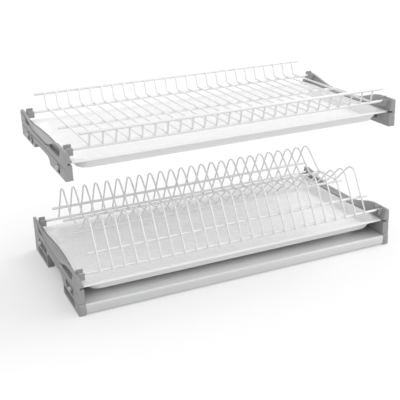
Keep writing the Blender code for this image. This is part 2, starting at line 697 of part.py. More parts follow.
def tray_mesh():
    """A shallow basin with a flat rim whose edge turns down, as rings from the floor's top to its underside."""
    hem, drop, wall = TRAY_HEM_WIDTH, TRAY_HEM_DROP, TRAY_WALL
    depth, soft, basin = TRAY_BASIN_DEPTH, TRAY_FLOOR_ROUND, TRAY_BASIN_CORNER
    mouth = Vector((TRAY_END_RIM, TRAY_FRONT_RIM, TRAY_REAR_RIM))
    foot = mouth + Vector((TRAY_END_DRAFT, TRAY_FRONT_DRAFT, TRAY_END_DRAFT))
    floor = foot + Vector((soft, soft, soft))
    sheet = Vector((wall, wall, wall))
    rings = [
        tray_ring(*floor, basin, -depth),
        tray_ring(*foot, basin, -depth + soft),
        tray_ring(*mouth, basin, 0),
        tray_ring(hem, hem, hem, TRAY_RIM_CORNER, 0),
        tray_ring(0, 0, 0, TRAY_RIM_CORNER, -drop),
        tray_ring(0, 0, 0, TRAY_RIM_CORNER, -drop - wall),
        tray_ring(hem, hem, hem, TRAY_RIM_CORNER, -wall),
        tray_ring(*(mouth - sheet), basin + wall, -wall),
        tray_ring(*(foot - sheet), basin + wall, -depth + soft - wall),
        tray_ring(*(floor - sheet), basin + wall, -depth - wall),
    ]
    return smooth(lofted("tray", rings), math.radians(30))


def make_trays(finish):
    mesh = tray_mesh()
    for tier, foot in (("lower", LOWER_FOOT), ("upper", UPPER_FOOT)):
        add_object(f"{tier}_tray", mesh, finish, (0, FRONT_FACE + TRAY_SETBACK, foot + TRAY_RIM_TOP))


def crossing(first, first_turn, second, second_turn):
    """Where a line through first meets a line through second, each given by its angle from +Y."""
    a = Vector((math.cos(first_turn), math.sin(first_turn)))
    b = Vector((math.cos(second_turn), math.sin(second_turn)))
    between = Vector(second) - Vector(first)
    along = (between.x * b.y - between.y * b.x) / (a.x * b.y - a.y * b.x)
    return Vector(first) + a * along


def plate_wire_line():
    """Middle line of a plate wire in (y, z), from the front lug rod to the rear one."""
    leg = Vector((math.cos(PLATE_LEG_ANGLE), math.sin(PLATE_LEG_ANGLE)))
    front_foot = Vector((-leg.y, leg.x)) * REST_OFFSET - leg * PLATE_FOOT_LENGTH
    rear_foot = Vector((LUG_SPAN - front_foot.x, front_foot.y))
    front_bend = Vector((TROUGH_FRONT, TROUGH_HEIGHT))
    rear_bend = Vector((TROUGH_REAR, TROUGH_HEIGHT))
    front_apex = crossing(front_foot, PLATE_LEG_ANGLE, front_bend, math.pi - PLATE_SLOPE_ANGLE)
    rear_apex = crossing(rear_foot, math.pi - PLATE_LEG_ANGLE, rear_bend, PLATE_SLOPE_ANGLE)
    corners = [front_foot, front_apex, front_bend, rear_bend, rear_apex, rear_foot]
    front_arch = rounded(corners[:3], [APEX_RADIUS], APEX_STEPS)[:-1]
    trough = rounded(corners[1:5], [TROUGH_BEND_RADIUS, TROUGH_BEND_RADIUS], BEND_STEPS)[1:-1]
    rear_arch = rounded(corners[3:], [APEX_RADIUS], APEX_STEPS)[1:]
    return front_arch + trough + rear_arch


def plate_rods():
    """Place in (y, z) and half length of each rod of the lower rack, from front to back."""
    lug = HALF_WIDTH - ROD_END_SETBACK
    free = WIRE_SPREAD / 2 + ROD_OVERHANG
    leg = Vector((math.cos(PLATE_LEG_ANGLE), math.sin(PLATE_LEG_ANGLE)))
    brace = leg * BRACE_SPACING
    seat_z = TROUGH_HEIGHT - REST_OFFSET
    return {
        "front_lug_rod": (0, 0, lug),
        "front_brace_rod": (brace.x, brace.y, free),
        "front_seat_rod": (TROUGH_FRONT, seat_z, free),
        "rear_seat_rod": (TROUGH_REAR, seat_z, free),
        "rear_brace_rod": (LUG_SPAN - brace.x, brace.y, free),
        "rear_lug_rod": (LUG_SPAN, 0, lug),
    }


def make_plate_rack(finish):
    """The lower rack: one bent wire beside another over six rods."""
    wire = smooth(tube("plate_wire", plate_wire_line(), WIRE_RADIUS, PLATE_WIRE_SIDES), math.radians(65))
    for number in range(WIRE_COUNT):
        x = (number - (WIRE_COUNT - 1) / 2) * WIRE_PITCH
        add_object(f"plate_wire_{number + 1:02d}", wire, finish, (x, FRONT_LUG, LOWER_LUG_LEVEL))
    for name, (y, z, half) in plate_rods().items():
        rod = smooth(bar(name, half, y, z, ROD_RADIUS, ROD_SIDES), math.radians(50))
        add_object(name, rod, finish, (0, FRONT_LUG, LOWER_LUG_LEVEL))


def wire_row(name, line):
    """A row of equal wires, one at each pitch, as separate bodies of one mesh."""
    single = tube(name, line, WIRE_RADIUS, WIRE_SIDES)
    row = []
    for number in range(WIRE_COUNT):
        copy = single.copy()
        copy.transform(Matrix.Translation(((number - (WIRE_COUNT - 1) / 2) * WIRE_PITCH, 0, 0)))
        row.append(copy)
    return joined(name, row)


def welded(name, line, rods):
    """A row of wires joined to the rods that it is welded to."""
    bars = [bar(f"{name}_rod_{number}", half, y, z, ROD_RADIUS, ROD_SIDES) for number, (y, z, half) in enumerate(rods)]
    mesh = worked(name, joined(name + "_rods", bars), [("UNION", wire_row(name + "_wires", line))])
    return smooth(mesh, math.radians(50))


def fence_line(bend_y, floor_z, lean, height, inward):
    """A fence wire in (y, z): flat at the floor, round the bend, and up to its tip."""
    start = Vector((bend_y + inward * 2 * FENCE_BEND_RADIUS, floor_z))
    bend = Vector((bend_y, floor_z))
    top = Vector((bend_y - inward * lean, height + FENCE_WIRE_TIP))
    return rounded([start, bend, top], [FENCE_BEND_RADIUS], BEND_STEPS)


def make_cup_rack(finish):
    """The upper rack: a floor of straight wires on three rods, and a fence at the front and at the back."""
    floor_z = WELD_OFFSET
    front_bend, rear_bend = -FRONT_BEND_OVERHANG, LUG_SPAN + REAR_BEND_OVERHANG
    reach = 2 * FENCE_BEND_RADIUS + FIT_GAP
    floor_line = [Vector((front_bend + reach, floor_z)), Vector((rear_bend - reach, floor_z))]
    lug = HALF_WIDTH - ROD_END_SETBACK
    free = WIRE_SPREAD / 2 + ROD_OVERHANG
    top = WIRE_SPREAD / 2 + TOP_RAIL_OVERHANG
    place = (0, FRONT_LUG, UPPER_LUG_LEVEL)
    floor_rods = [(LUG_SPAN / 2, 0, free), (LUG_SPAN, 0, lug)]
    floor = welded("upper_rack_floor", floor_line, floor_rods)
    add_object("upper_rack_floor", floor, finish, place)

    line = fence_line(front_bend, floor_z, FRONT_FENCE_LEAN, FRONT_FENCE_HEIGHT, 1)
    rail_y = front_bend - FRONT_FENCE_LEAN - WELD_OFFSET
    rods = [(0, 0, lug), (rail_y, FRONT_FENCE_HEIGHT, top)]
    add_object("upper_rack_front_fence", welded("upper_rack_front_fence", line, rods), finish, place)

    line = fence_line(rear_bend, floor_z, REAR_FENCE_LEAN, REAR_FENCE_HEIGHT, -1)
    rail_y = rear_bend + REAR_FENCE_LEAN + WELD_OFFSET
    rods = [(rail_y, REAR_FENCE_HEIGHT, top)]
    add_object("upper_rack_rear_fence", welded("upper_rack_rear_fence", line, rods), finish, place)


def main():
    clear_scene()
    grey = material("bracket_plastic", (0.40, 0.40, 0.41), 0.45, 0)
    white = material("tray_plastic", (0.86, 0.87, 0.87), 0.30, 0)
    coating = material("wire_coating", (0.90, 0.90, 0.90), 0.28, 0)
    aluminium = material("profile_aluminium", (0.72, 0.73, 0.74), 0.32, 1)
    nylon = material("dowel_nylon", (0.88, 0.88, 0.86), 0.50, 0)
    steel = material("screw_steel", (0.62, 0.62, 0.63), 0.35, 1)
    make_brackets(grey)
    make_corners(grey)
    make_profiles(aluminium)
    make_trays(white)
    make_plate_rack(coating)
    make_cup_rack(coating)
    make_dowels(nylon)
    make_corner_screws(steel)


main()
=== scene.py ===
"""Cabinet dish drainer on a pale studio floor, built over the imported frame."""

import math

import bmesh
import bpy
from mathutils import Matrix, Vector


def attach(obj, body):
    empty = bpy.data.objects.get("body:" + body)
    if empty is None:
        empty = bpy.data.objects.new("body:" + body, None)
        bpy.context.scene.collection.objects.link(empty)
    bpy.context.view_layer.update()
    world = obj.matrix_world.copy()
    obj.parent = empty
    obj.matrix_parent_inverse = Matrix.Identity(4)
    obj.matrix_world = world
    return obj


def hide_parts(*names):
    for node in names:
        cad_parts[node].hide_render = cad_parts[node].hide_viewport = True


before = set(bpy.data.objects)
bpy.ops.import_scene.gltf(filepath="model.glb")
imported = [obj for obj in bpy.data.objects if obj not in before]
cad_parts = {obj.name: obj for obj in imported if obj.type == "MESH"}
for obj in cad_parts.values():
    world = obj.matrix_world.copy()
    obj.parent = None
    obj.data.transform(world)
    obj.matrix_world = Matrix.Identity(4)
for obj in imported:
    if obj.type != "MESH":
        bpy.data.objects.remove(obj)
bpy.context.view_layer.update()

# Sizes shared with the frame, in metres
HALF_WIDTH = 0.282
INNER_FACE = 0.0113  # a bracket's thickness
FRONT_FACE = -0.1375
FRONT_LUG = -0.1221
LUG_SPAN = 0.235
LUG_HEIGHT = 0.0413  # foot to the middle of a rod in its cradle
LOWER_FOOT = 0.0195
UPPER_FOOT = 0.2155
TIERS = (("lower", LOWER_FOOT), ("upper", UPPER_FOOT))
SIDES = (("left", -1), ("right", 1))
WIRE_RADIUS = 0.0014
ROD_RADIUS = 0.0023
FIT_GAP = 0.0003  # between two pieces that rest on each other
WIRE_PITCH = 0.020
WIRE_COUNT = 25
SPREAD = WIRE_PITCH * (WIRE_COUNT - 1)

# Half lengths of the rods
LUG_ROD = HALF_WIDTH - 0.0083
FREE_ROD = SPREAD / 2 + 0.0145
TOP_RAIL = SPREAD / 2 + 0.017


# Geometry helpers

SAME_POINT = 0.00001  # points closer than this become one
FLAT, HARD = math.radians(1.5), math.radians(32)  # faces to join up, and edges to round


def linked(name, data):
    """A new object of the data, in the scene."""
    obj = bpy.data.objects.new(name, data)
    bpy.context.scene.collection.objects.link(obj)
    return obj


def rounded(points, radii, steps):
    """The open line through points with each inner corner turned into an arc."""
    line = [Vector(points[0])]
    for before, corner, after, radius in zip(points, points[1:], points[2:], radii):
        corner = Vector(corner)
        arriving = (Vector(before) - corner).normalized()
        leaving = (Vector(after) - corner).normalized()
        half = arriving.angle(leaving) / 2
        centre = corner + (arriving + leaving).normalized() * radius / math.sin(half)
        start = corner + arriving * radius / math.tan(half) - centre
        end = corner + leaving * radius / math.tan(half) - centre
        turn = start.angle(end)
        for step in range(steps + 1):
            share = step / steps
            blend = start * math.sin((1 - share) * turn) + end * math.sin(share * turn)
            line.append(centre + blend / math.sin(turn))
    line.append(Vector(points[-1]))
    return line


def crossing(first, first_turn, second, second_turn):
    """Where two lines in the (y, z) plane meet, each given by a point and its angle from +Y."""
    a = Vector((math.cos(first_turn), math.sin(first_turn)))
    b = Vector((math.cos(second_turn), math.sin(second_turn)))
    between = Vector(second) - Vector(first)
    return Vector(first) + a * (between.x * b.y - between.y * b.x) / (a.x * b.y - a.y * b.x)


def eased_ends(line, reach):
    """(point, share of the radius) along a line whose ends round off over reach."""
    points = [Vector(point) for point in line]
    first, last = points[0], points[-1]
    ahead = (points[1] - first).normalized()
    back = (points[-2] - last).normalized()
    turns = [math.radians(angle) for angle in (10, 35, 60)]
    head = [(first + ahead * reach * (1 - math.cos(t)), math.sin(t)) for t in turns]
    tail = [(last + back * reach * (1 - math.cos(t)), math.sin(t)) for t in reversed(turns)]
    body = [first + ahead * reach] + points[1:-1] + [last + back * reach]
    return head + [(point, 1.0) for point in body] + tail


def curve_object(name, lines, reach):
    """A curve of poly splines with rounded ends, as the centre lines of bars."""
    data = bpy.data.curves.new(name, "CURVE")
    data.dimensions = "3D"
    for line in lines:
        points = eased_ends(line, reach)
        spline = data.splines.new("POLY")
        spline.points.add(len(points) - 1)
        for target, (point, share) in zip(spline.points, points):
            target.co = (*point, 1)
            target.radius = share
    return linked(name, data)


def plain(carrier):
    """The mesh of an object as its modifiers leave it; the object is removed."""
    graph = bpy.context.evaluated_depsgraph_get()
    graph.update()
    result = bpy.data.meshes.new_from_object(carrier.evaluated_get(graph))
    carrier.modifiers.clear()
    bpy.data.objects.remove(carrier, do_unlink=True)
    return result


def merged(name, parts, material):
    """One smooth mesh of several, all of one material."""
    build = bmesh.new()
    for part in parts:
        build.from_mesh(part)
    for face in build.faces:
        face.material_index = 0
        face.smooth = True
    bmesh.ops.recalc_face_normals(build, faces=build.faces)
    result = bpy.data.meshes.new(name)
    build.to_mesh(result)
    build.free()
    result.materials.append(material)
    return result


def lofted(name, rings):
    """A solid through rings of equally many points, closed at both ends and turned outwards."""
    count = len(rings[0])
    points = [point for ring in rings for point in ring]
    faces = [tuple(range(count)), tuple(range(len(points) - count, len(points)))]
    for first in range(len(rings) - 1):
        for spot in range(count):
            after = (spot + 1) % count
            low, high = first * count, (first + 1) * count
            faces.append((low + spot, low + after, high + after, high + spot))
    mesh = bpy.data.meshes.new(name)
    mesh.from_pydata(points, [], faces)
    build = bmesh.new()
    build.from_mesh(mesh)
    bmesh.ops.recalc_face_normals(build, faces=build.faces)
    build.to_mesh(mesh)
    build.free()
    return mesh


def rounded_edges(name, source, materials, width, pick=None):
    """A copy of a closed mesh with flat faces joined up and every hard edge rounded."""
    build = bmesh.new()
    build.from_mesh(source)
    bmesh.ops.remove_doubles(build, verts=build.verts, dist=SAME_POINT)
    bmesh.ops.dissolve_limit(build, angle_limit=FLAT, verts=build.verts, edges=build.edges)
    for face in build.faces:
        face.material_index = pick(face) if pick else 0
        face.smooth = True
    mesh = bpy.data.meshes.new(name + " soft")
    build.to_mesh(mesh)
    build.free()
    for material in materials:
        mesh.materials.append(material)
    carrier = linked(name + " carrier", mesh)
    bevel = carrier.modifiers.new("Edges", "BEVEL")
    bevel.width = width
    bevel.segments = 2
    bevel.limit_method = "ANGLE"
    bevel.angle_limit = HARD
    bevel.harden_normals = True
    return plain(carrier)


def softened(node, material, width):
    """The frame's own form of a node, with its edges rounded."""
    return rounded_edges(node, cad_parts[node].data, [material], width)


def carved(name, base, steps):
    """The base mesh after its cuts and unions."""
    carrier = linked(name, base)
    tools = []
    for number, (operation, mesh) in enumerate(steps):
        tool = linked(f"{name} tool {number}", mesh)
        work = carrier.modifiers.new(f"Step {number}", "BOOLEAN")
        work.operation = operation
        work.solver = "EXACT"
        work.object = tool
        tools.append(tool)
    result = plain(carrier)
    for tool in tools:
        bpy.data.objects.remove(tool, do_unlink=True)
    return result


def place(name, mesh, body, nodes):
    """Puts a finished mesh in the scene for the nodes it stands for."""
    obj = linked(name, mesh)
    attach(obj, body)
    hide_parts(*nodes)


# Geometry Nodes

def new_tree(name, sockets):
    """A geometry tree with a geometry in and out, and the named inputs."""
    tree = bpy.data.node_groups.new(name, "GeometryNodeTree")
    tree.interface.new_socket("Geometry", in_out="INPUT", socket_type="NodeSocketGeometry")
    tree.interface.new_socket("Geometry", in_out="OUTPUT", socket_type="NodeSocketGeometry")
    for label, kind in sockets.items():
        tree.interface.new_socket(label, in_out="INPUT", socket_type="NodeSocket" + kind)
    return tree, tree.nodes.new("NodeGroupInput"), tree.nodes.new("NodeGroupOutput")


def finish_tree(tree, geometry, group_in, group_out):
    """Realises the instances, shades them smooth and gives them their material."""
    realise = tree.nodes.new("GeometryNodeRealizeInstances")
    shade = tree.nodes.new("GeometryNodeSetShadeSmooth")
    coat = tree.nodes.new("GeometryNodeSetMaterial")
    link = tree.links.new
    link(geometry, realise.inputs["Geometry"])
    link(realise.outputs["Geometry"], shade.inputs["Geometry"])
    link(shade.outputs["Geometry"], coat.inputs["Geometry"])
    link(group_in.outputs["Material"], coat.inputs["Material"])
    link(coat.outputs["Geometry"], group_out.inputs["Geometry"])


def row_tree():
    """Sweeps the incoming curve into round bars and repeats them along a line."""
    sockets = {"Count": "Int", "Start": "Vector", "Step": "Vector", "Radius": "Float",
               "Sides": "Int", "Material": "Material"}
    tree, group_in, group_out = new_tree("Row of bars", sockets)
    circle = tree.nodes.new("GeometryNodeCurvePrimitiveCircle")
    sweep = tree.nodes.new("GeometryNodeCurveToMesh")
    sweep.inputs["Fill Caps"].default_value = True
    line = tree.nodes.new("GeometryNodeMeshLine")
    copies = tree.nodes.new("GeometryNodeInstanceOnPoints")
    link = tree.links.new
    link(group_in.outputs["Sides"], circle.inputs["Resolution"])
    link(group_in.outputs["Radius"], circle.inputs["Radius"])
    link(group_in.outputs["Geometry"], sweep.inputs["Curve"])
    link(circle.outputs["Curve"], sweep.inputs["Profile Curve"])
    if "Scale" in sweep.inputs:
        radius = tree.nodes.new("GeometryNodeInputRadius")
        link(radius.outputs["Radius"], sweep.inputs["Scale"])
    link(group_in.outputs["Count"], line.inputs["Count"])
    link(group_in.outputs["Start"], line.inputs["Start Location"])
    link(group_in.outputs["Step"], line.inputs["Offset"])
    link(line.outputs["Mesh"], copies.inputs["Points"])
    link(sweep.outputs["Mesh"], copies.inputs["Instance"])
    finish_tree(tree, copies.outputs["Instances"], group_in, group_out)
    return tree


def bead_tree():
    """Sets a flattened bead of weld under the coating at every incoming point."""
    tree, group_in, group_out = new_tree("Weld beads", {"Size": "Vector", "Material": "Material"})
    ball = tree.nodes.new("GeometryNodeMeshUVSphere")
    ball.inputs["Segments"].default_value = 16
    ball.inputs["Rings"].default_value = 8
    ball.inputs["Radius"].default_value = 1
    copies = tree.nodes.new("GeometryNodeInstanceOnPoints")
    link = tree.links.new
    link(group_in.outputs["Geometry"], copies.inputs["Points"])
    link(ball.outputs["Mesh"], copies.inputs["Instance"])
    link(group_in.outputs["Size"], copies.inputs["Scale"])
    finish_tree(tree, copies.outputs["Instances"], group_in, group_out)
    return tree


def grown(obj, tree, values):
    """The plain mesh that a geometry tree makes of an object, which is then removed."""
    modifier = obj.modifiers.new(tree.name, "NODES")
    modifier.node_group = tree
    for item in tree.interface.items_tree:
        if item.item_type == "SOCKET" and item.in_out == "INPUT" and item.name in values:
            modifier[item.identifier] = values[item.name]
    return plain(obj)


ROW = row_tree()
BEADS = bead_tree()


# Materials

def shader_group():
    """Fine grain and broad mottling in the surface's own metres, as masks and a normal."""
    group = bpy.data.node_groups.new("Moulded grain", "ShaderNodeTree")
    inputs = {"Vector": "Vector", "Grain": "Float", "Broad": "Float", "Depth": "Float"}
    outputs = {"Fine": "Float", "Patch": "Float", "Normal": "Vector"}
    for way, sockets in (("INPUT", inputs), ("OUTPUT", outputs)):
        for label, kind in sockets.items():
            group.interface.new_socket(label, in_out=way, socket_type="NodeSocket" + kind)
    nodes, link = group.nodes, group.links.new
    group_in, group_out = nodes.new("NodeGroupInput"), nodes.new("NodeGroupOutput")
    fine = nodes.new("ShaderNodeTexNoise")
    fine.inputs["Detail"].default_value = 4
    broad = nodes.new("ShaderNodeTexNoise")
    broad.inputs["Detail"].default_value = 3
    bump = nodes.new("ShaderNodeBump")
    bump.inputs["Strength"].default_value = 0.6
    link(group_in.outputs["Vector"], fine.inputs["Vector"])
    link(group_in.outputs["Vector"], broad.inputs["Vector"])
    link(group_in.outputs["Grain"], fine.inputs["Scale"])
    link(group_in.outputs["Broad"], broad.inputs["Scale"])
    link(group_in.outputs["Depth"], bump.inputs["Distance"])
    link(fine.outputs["Fac"], bump.inputs["Height"])
    link(fine.outputs["Fac"], group_out.inputs["Fine"])
    link(broad.outputs["Fac"], group_out.inputs["Patch"])
    link(bump.outputs["Normal"], group_out.inputs["Normal"])
    return group


GRAIN = shader_group()


def surface(name, dark, light, rough, grain, broad, depth, metallic=0.0, coat=0.0,
            stretch=(1, 1, 1)):
    """A material whose colour runs from dark to light over its mottling.

    rough is (low, high); grain and broad are cycles in a metre; depth is the grain's in metres.
    """
    made = bpy.data.materials.new(name)
    made.use_nodes = True
    nodes, link = made.node_tree.nodes, made.node_tree.links.new
    shader = nodes["Principled BSDF"]
    spot = nodes.new("ShaderNodeTexCoord")
    mapping = nodes.new("ShaderNodeMapping")
    mapping.inputs["Scale"].default_value = stretch
    group = nodes.new("ShaderNodeGroup")
    group.node_tree = GRAIN
    group.inputs["Grain"].default_value = grain
    group.inputs["Broad"].default_value = broad
    group.inputs["Depth"].default_value = depth
    blend = nodes.new("ShaderNodeMix")
    blend.data_type = "RGBA"
    blend.inputs[6].default_value = (*dark, 1)
    blend.inputs[7].default_value = (*light, 1)
    spread = nodes.new("ShaderNodeMapRange")
    spread.inputs["From Min"].default_value = 0.3
    spread.inputs["From Max"].default_value = 0.7
    spread.inputs["To Min"].default_value = rough[0]
    spread.inputs["To Max"].default_value = rough[1]
    link(spot.outputs["Object"], mapping.inputs["Vector"])
    link(mapping.outputs["Vector"], group.inputs["Vector"])
    link(group.outputs["Patch"], blend.inputs[0])
    link(group.outputs["Fine"], spread.inputs["Value"])
    link(blend.outputs[2], shader.inputs["Base Color"])
    link(spread.outputs["Result"], shader.inputs["Roughness"])
    link(group.outputs["Normal"], shader.inputs["Normal"])
    shader.inputs["Metallic"].default_value = metallic
    shader.inputs["Coat Weight"].default_value = coat
    shader.inputs["Coat Roughness"].default_value = 0.12
    return made


GREY = surface("Grey moulding", (0.30, 0.30, 0.302), (0.36, 0.36, 0.36), (0.38, 0.52),
               2600, 60, 0.00006)
# Painted shade: a darker grey that paints the shade on the lower tier's rod cradles.
CRADLE_PAINTED_SHADE = surface("Cradle painted shade", (0.17, 0.17, 0.175), (0.21, 0.21, 0.215), (0.40, 0.55),
                      2600, 60, 0.00006)
TRAY_WHITE = surface("Tray sheet", (0.87, 0.87, 0.87), (0.91, 0.91, 0.91), (0.25, 0.36),
                     1500, 25, 0.00003)
COATING = surface("Wire coating", (0.82, 0.82, 0.822), (0.87, 0.87, 0.87), (0.16, 0.30),
                  900, 40, 0.00003, coat=0.4)
NYLON = surface("Nylon", (0.66, 0.66, 0.65), (0.74, 0.74, 0.73), (0.40, 0.55),
                2400, 200, 0.00003)
ALUMINIUM = surface("Satin aluminium", (0.62, 0.623, 0.626), (0.70, 0.702, 0.704), (0.42, 0.56),
                    60, 12, 0.00002, metallic=0.2, coat=0.3, stretch=(1, 60, 60))
ZINC = surface("Zinc plate", (0.55, 0.56, 0.58), (0.66, 0.66, 0.67), (0.25, 0.40),
               1800, 300, 0.00002, metallic=1.0)


# Wire racks, drawn as (y, z) from the middle of the front lug rod

def wires(name, line, level):
    """The row of wires that follow a line."""
    path = [(0, FRONT_LUG + point[0], level + point[1]) for point in line]
    values = {"Count": WIRE_COUNT, "Start": (-SPREAD / 2, 0, 0), "Step": (WIRE_PITCH, 0, 0),
              "Radius": WIRE_RADIUS, "Sides": 16, "Material": COATING}
    return grown(curve_object(name, [path], WIRE_RADIUS * 0.6), ROW, values)


def rods(name, places, level):
    """Straight rods; each place is (y, z, half length)."""
    lines = []
    for y, z, half in places:
        y, z = FRONT_LUG + y, level + z
        lines.append([(-half, y, z), (0, y, z), (half, y, z)])
    values = {"Count": 1, "Start": (0, 0, 0), "Step": (0, 0, 0),
              "Radius": ROD_RADIUS, "Sides": 20, "Material": COATING}
    return grown(curve_object(name, lines, ROD_RADIUS * 0.5), ROW, values)


def beads(name, spots, size, level):
    """Weld beads of one size where every wire crosses the spots."""
    spots = [(FRONT_LUG + y, level + z) for y, z in spots]
    mesh = bpy.data.meshes.new(name)
    points = [(-SPREAD / 2 + WIRE_PITCH * n, y, z) for y, z in spots for n in range(WIRE_COUNT)]
    mesh.from_pydata(points, [], [])
    return grown(linked(name, mesh), BEADS, {"Size": size, "Material": COATING})


def rack(name, level, line, places, welds):
    """The mesh of a rack at a level; welds is a list of (spots, size of their beads)."""
    parts = [wires(name + " wires", line, level), rods(name + " rods", places, level)]
    parts += [beads(name + " welds", spots, size, level) for spots, size in welds]
    return merged(name, parts, COATING)


LEG_TURN, SLOPE_TURN = math.radians(61), math.radians(42)
LEG_TAIL = 0.0045  # wire past the lug rod's middle, along the leg
BRACE_REACH = 0.029  # lug rod to brace rod, along the leg
TROUGH = (0.091, 0.148)  # the trough's two bends
TROUGH_LEVEL = 0.0335
APEX_ROUND, TROUGH_ROUND = 0.015, 0.006
PLATE_BEAD = (0.0021, 0.0017, 0.0015)  # half its length in x, y and z


def plate_rack():
    """The lower rack: wires bent over twice, on six rods."""
    gap = ROD_RADIUS + WIRE_RADIUS + FIT_GAP
    leg = Vector((math.cos(LEG_TURN), math.sin(LEG_TURN)))
    across = Vector((-leg.y, leg.x))
    foot = across * gap - leg * LEG_TAIL
    rear_foot = Vector((LUG_SPAN - foot.x, foot.y))
    bends = [Vector((y, TROUGH_LEVEL)) for y in TROUGH]
    front_apex = crossing(foot, LEG_TURN, bends[0], math.pi - SLOPE_TURN)
    rear_apex = crossing(rear_foot, math.pi - LEG_TURN, bends[1], SLOPE_TURN)
    corners = [foot, front_apex, *bends, rear_apex, rear_foot]
    line = rounded(corners, [APEX_ROUND, TROUGH_ROUND, TROUGH_ROUND, APEX_ROUND], 12)
    brace, seat = leg * BRACE_REACH, TROUGH_LEVEL - gap
    places = [(0, 0, LUG_ROD), (brace.x, brace.y, FREE_ROD)]
    places += [(y, seat, FREE_ROD) for y in TROUGH]
    places += [(LUG_SPAN - brace.x, brace.y, FREE_ROD), (LUG_SPAN, 0, LUG_ROD)]
    side = across * ROD_RADIUS
    spots = [side, brace + side] + [Vector((y, seat + ROD_RADIUS)) for y in TROUGH]
    spots += [Vector((LUG_SPAN - p.x, p.y)) for p in (brace + side, side)]
    mesh = rack("Plate rack", LOWER_FOOT + LUG_HEIGHT, line, places, [(spots, PLATE_BEAD)])
    nodes = [f"plate_wire_{number + 1:02d}" for number in range(WIRE_COUNT)]
    nodes += [f"front_{kind}_rod" for kind in ("lug", "brace", "seat")]
    nodes += [f"rear_{kind}_rod" for kind in ("seat", "brace", "lug")]
    place("plate_rack", mesh, "lower_rack", nodes)


WELD = 0.0032  # middle of a rod to the middle of a wire welded on it
FLOOR_FRONT, FLOOR_REAR = -0.0035, LUG_SPAN + 0.011
FRONT_LEAN, REAR_LEAN = 0.0063, 0.007  # how far the fences lean out at their tops
FENCE_TOP, RAIL_LEVEL = 0.0262, 0.025
FENCE_ROUND = 0.003
FLOOR_BEAD, RAIL_BEAD = (0.0021, 0.0019, 0.0013), (0.0021, 0.0013, 0.0019)
RAIL_BEAD_DROP = 0.0005  # under the rail's middle


def cup_rack():
    """The upper rack: wires that are floor and both fences in one."""
    front_top, rear_top = FLOOR_FRONT - FRONT_LEAN, FLOOR_REAR + REAR_LEAN
    corners = [(front_top, FENCE_TOP), (FLOOR_FRONT, WELD), (FLOOR_REAR, WELD),
               (rear_top, FENCE_TOP)]
    line = rounded(corners, [FENCE_ROUND, FENCE_ROUND], 8)
    front_rail, rear_rail = front_top - WELD, rear_top + WELD
    middle = LUG_SPAN / 2
    places = [(front_rail, RAIL_LEVEL, TOP_RAIL), (0, 0, LUG_ROD), (middle, 0, FREE_ROD),
              (LUG_SPAN, 0, LUG_ROD), (rear_rail, RAIL_LEVEL, TOP_RAIL)]
    floor_spots = [(y, ROD_RADIUS) for y in (0, middle, LUG_SPAN)]
    rail_spots = [(y, RAIL_LEVEL - RAIL_BEAD_DROP)
                  for y in (front_rail + ROD_RADIUS, rear_rail - ROD_RADIUS)]
    welds = [(floor_spots, FLOOR_BEAD), (rail_spots, RAIL_BEAD)]
    mesh = rack("Cup rack", UPPER_FOOT + LUG_HEIGHT, line, places, welds)
    nodes = [f"upper_rack_{part}" for part in ("floor", "front_fence", "rear_fence")]
    place("cup_rack", mesh, "upper_rack", nodes)


# Trays, drawn from the middle of the rim's front edge; sets of four are left, right, front, rear

TRAY_SETBACK = 0.0074  # bracket's front face to the rim
TRAY_RIM_LEVEL = 0.0259  # foot to the top of the rim
TRAY_REACH = 0.0060  # of the rim into a bracket's groove
TRAY_HALF = HALF_WIDTH - INNER_FACE + TRAY_REACH
TRAY_DEPTH = 0.258
TRAY_WALL = 0.0016
TRAY_FLOOR = 0.0155  # rim to the basin's floor
TRAY_MOUTH = (0.0130, 0.0130, 0.0045, 0.0250)  # rim's edge to the basin's mouth
TRAY_DRAFT = (0.0080, 0.0080, 0.0085, 0.0110)  # mouth to the floor's edge
FLOOR_CORNER, MOUTH_CORNER, RIM_CORNER = 0.018, 0.020, 0.006
FLOOR_ROUND = (0.0024, 0.0021)  # run and rise of the floor's rounded edge
LIP = ((0.10, 0.0013), (0.02, 0.0005), (-0.05, 0.0001), (-0.14, 0.0))  # (share of draft, drop)
HEM = ((0.0042, 0), (0.0032, 0.0001), (0.0018, 0.0005), (0.0005, 0.0009), (0, 0.0013))
RIB_PITCH = 0.0085
RIB_RADIUS = 0.0016
RIB_SINK = 0.0010  # floor to a rib's middle
RIB_MARGINS = (0.004, 0.006)  # floor's edge to the ribs, at their ends and before the first
RIB_END = 0.003  # length over which a rib's end rounds off


def tray_ring(left, right, front, rear, corner, z, steps=12):
    """A rounded rectangle set in from the tray's outline by left, right, front and rear."""
    west, east = left - TRAY_HALF, TRAY_HALF - right
    back = TRAY_DEPTH - rear
    centres = [(east - corner, front + corner, -90), (east - corner, back - corner, 0),
               (west + corner, back - corner, 90), (west + corner, front + corner, 180)]
    points = []
    for x, y, start in centres:
        for step in range(steps + 1):
            turn = math.radians(start + 90 * step / steps)
            points.append((x + corner * math.cos(turn), y + corner * math.sin(turn), z))
    return points


def tray_rings(skin):
    """Rings from the floor's edge to the hem; skin is 0 on top and the wall underneath."""
    rings = []
    run, rise = FLOOR_ROUND
    for turn in (0, 22, 45, 67, 90):
        turn = math.radians(turn)
        insets = [mouth + draft + run * (1 - math.sin(turn)) - skin
                  for mouth, draft in zip(TRAY_MOUTH, TRAY_DRAFT)]
        z = -TRAY_FLOOR + rise * (1 - math.cos(turn)) - skin
        rings.append(tray_ring(*insets, FLOOR_CORNER + skin, z))
    for share, drop in LIP:
        insets = [mouth + draft * share - skin for mouth, draft in zip(TRAY_MOUTH, TRAY_DRAFT)]
        rings.append(tray_ring(*insets, MOUTH_CORNER + skin, -drop - skin))
    for inset, drop in HEM:
        rings.append(tray_ring(inset, inset, inset, inset, RIM_CORNER, -drop - skin))
    return rings


